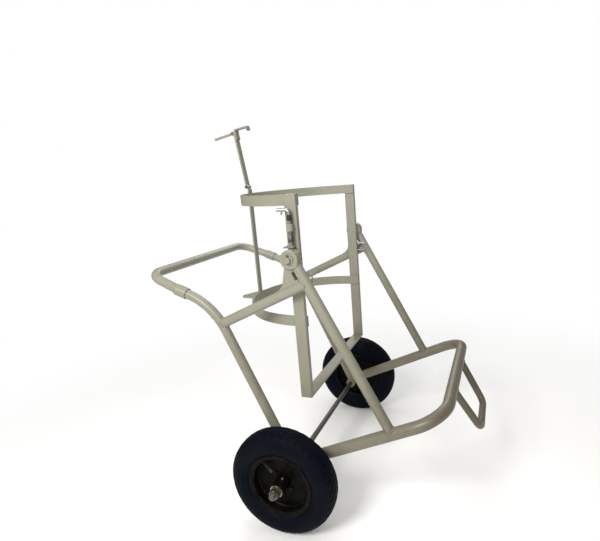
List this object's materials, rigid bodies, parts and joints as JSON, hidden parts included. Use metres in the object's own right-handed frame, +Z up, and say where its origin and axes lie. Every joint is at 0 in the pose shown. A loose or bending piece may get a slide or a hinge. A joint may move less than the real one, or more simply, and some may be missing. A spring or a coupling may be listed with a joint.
{
  "type": "drum dolly",
  "caption": "Two-wheeled tubular dolly whose strapped cradle swings on side trunnions to carry a drum upright or tip it.",
  "frame": {"origin": "on the floor in the middle of the length and midway between the wheels, in the rolling stance", "axes": "+X forward, away from the operator at the handle; +Y to the left of an operator facing +X; +Z up, parallel to the carried drum axis"},
  "size_m": [1.1734, 1.068, 1.3863],
  "materials": {
    "frame_paint": "semi-gloss grey-beige powder coat",
    "tyre": "moulded rubber",
    "tube_rubber": "matt",
    "black_enamel": "satin black enamel",
    "bearing_steel": "ground",
    "dark_steel": "mill finish",
    "zinc": "bright zinc plate",
    "spring_steel": "drawn",
    "bush_bronze": "plain bearing bronze",
    "nylon": "natural nylon",
    "black_plastic": "moulded"
  },
  "bodies": {
    "frame": {"axle": "dark_steel", "axle_bosses": "frame_paint", "axle_nuts": "zinc", "axle_spacers": "dark_steel", "axle_washers": "zinc", "front_strut_left": "frame_paint", "front_strut_right": "frame_paint", "handle_tube": "frame_paint", "lower_frame_tube": "frame_paint", "pivot_brackets": "frame_paint", "pivot_bushes": "bush_bronze", "pivot_hub_left": "frame_paint", "pivot_hub_right": "frame_paint", "rear_brace_left": "frame_paint", "rear_brace_right": "frame_paint", "rear_leg_left": "frame_paint", "rear_leg_right": "frame_paint", "splice_sleeves": "frame_paint", "stand_loop": "frame_paint"},
    "wheel_right": {"tyre_right": "tyre", "inner_tube_right": "tube_rubber", "rim_outer_right": "black_enamel", "rim_inner_right": "black_enamel", "wheel_hub_right": "black_enamel", "wheel_bearings_right": "bearing_steel", "bearing_spacer_right": "bearing_steel", "rim_bolts_right": "black_enamel"},
    "wheel_left": {"tyre_left": "tyre", "inner_tube_left": "tube_rubber", "rim_outer_left": "black_enamel", "rim_inner_left": "black_enamel", "wheel_hub_left": "black_enamel", "wheel_bearings_left": "bearing_steel", "bearing_spacer_left": "bearing_steel", "rim_bolts_left": "black_enamel"},
    "cradle": {"side_bar_right": "frame_paint", "side_bar_left": "frame_paint", "bar_end_caps": "frame_paint", "bottom_crossbar": "frame_paint", "upper_hoop": "frame_paint", "lower_hoop": "frame_paint", "rear_strap": "frame_paint", "grab_loop": "frame_paint", "grab_lug": "frame_paint", "trunnion_pins": "frame_paint", "thrust_washers": "nylon", "retaining_washers": "frame_paint", "cotter_pins": "zinc", "latch_guide_upper": "frame_paint", "latch_guide_lower": "zinc", "latch_spring": "spring_steel", "strap_staples": "zinc", "hook_hinge_bolt": "zinc"},
    "latch": {"plunger_rod": "zinc", "plunger_collar": "dark_steel", "plunger_sleeve": "black_plastic"},
    "hook": {"hook_arm": "frame_paint", "rim_jaw": "frame_paint", "lever_pin": "zinc"},
    "lever": {"rim_lever": "frame_paint"}
  },
  "joints": [
    {"name": "wheel_right_spin", "type": "hinge", "parent": "frame", "child": "wheel_right", "pos_m": [-0.04256, -0.438, 0.1875], "axis": [0, 1, 0], "continuous": true},
    {"name": "wheel_left_spin", "type": "hinge", "parent": "frame", "child": "wheel_left", "pos_m": [-0.04256, 0.438, 0.1875], "axis": [0, 1, 0], "continuous": true},
    {"name": "cradle_tilt", "type": "hinge", "parent": "frame", "child": "cradle", "pos_m": [0.01261, 0, 0.92974], "axis": [0, 1, 0], "range_deg": [-24.07, 95.93]},
    {"name": "index_latch", "type": "slide", "parent": "cradle", "child": "latch", "axis": [0, 0, -1], "range_m": [0, 0.0085], "deforming": ["latch_spring"]},
    {"name": "hook_swing", "type": "hinge", "parent": "cradle", "child": "hook", "pos_m": [-0.31117, 0, 1.156], "axis": [0, 1, 0], "range_deg": [-43, 6]},
    {"name": "rim_lever_turn", "type": "hinge", "parent": "hook", "child": "lever", "pos_m": [-0.35073, 0, 1.36398], "axis": [0, 1, 0], "range_deg": [0, 85]}
  ]
}
